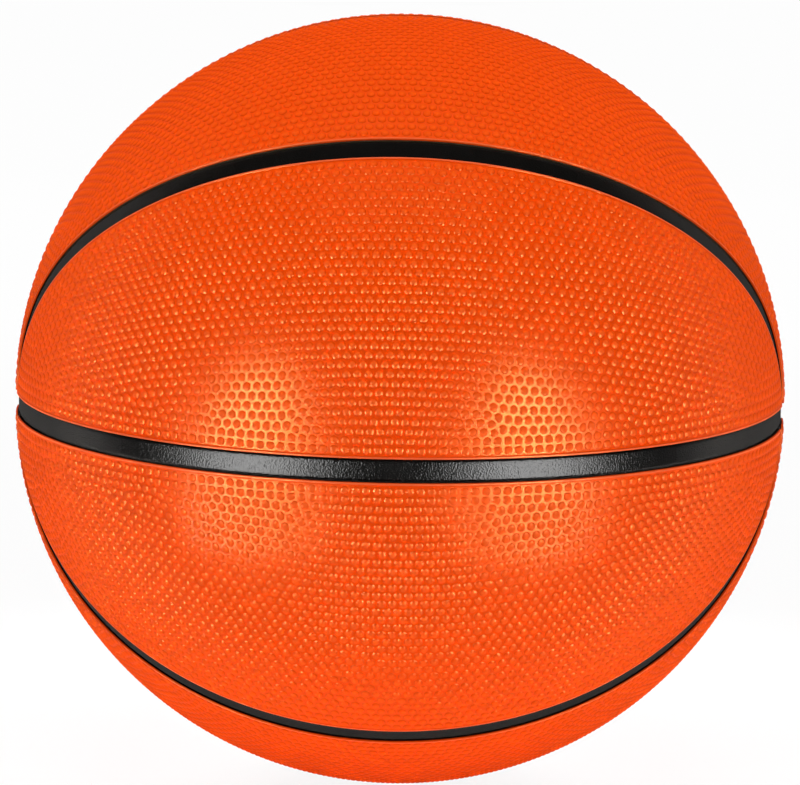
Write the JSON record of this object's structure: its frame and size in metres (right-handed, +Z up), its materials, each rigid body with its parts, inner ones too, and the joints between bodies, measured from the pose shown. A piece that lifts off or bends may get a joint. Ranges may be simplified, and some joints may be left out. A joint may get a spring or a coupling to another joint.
{
  "type": "basketball",
  "caption": "Round inflated basketball: pebbled orange panels with black channel strips over a carcass, thread winding and air bladder, with a needle valve whose plug pulls out.",
  "frame": {"origin": "centre of the ball", "axes": "+Z up, square to the plane of the equator channel; -Y through the middle of the front oval; +X along the equator, through a crossing of the equator and meridian channels"},
  "size_m": [0.2418, 0.2418, 0.2418],
  "materials": {
    "cover": "pebbled orange cover, semi-matt, with smooth rounded edges",
    "channel": "black rubber with a fine grain and a soft gloss",
    "carcass": "matt black moulded rubber",
    "winding": "off-white nylon thread",
    "bladder": "smooth black butyl rubber",
    "valve": "smooth black butyl rubber"
  },
  "bodies": {
    "ball": {"front_upper_oval_panel": "cover", "front_lower_oval_panel": "cover", "back_upper_oval_panel": "cover", "back_lower_oval_panel": "cover", "front_upper_band_panel": "cover", "front_lower_band_panel": "cover", "back_upper_band_panel": "cover", "back_lower_band_panel": "cover", "front_upper_oval_strip": "channel", "front_lower_oval_strip": "channel", "back_upper_oval_strip": "channel", "back_lower_oval_strip": "channel", "upper_meridian_strip": "channel", "lower_meridian_strip": "channel", "equator_strip": "channel", "carcass": "carcass", "nylon_winding": "winding", "bladder": "bladder", "valve_seat": "valve"},
    "valve_plug": {"valve_plug": "valve"}
  },
  "joints": [
    {"name": "valve_plug_pull", "type": "slide", "parent": "ball", "child": "valve_plug", "axis": [0, 0.9272, 0.3746], "range_m": [0, 0.02]}
  ]
}
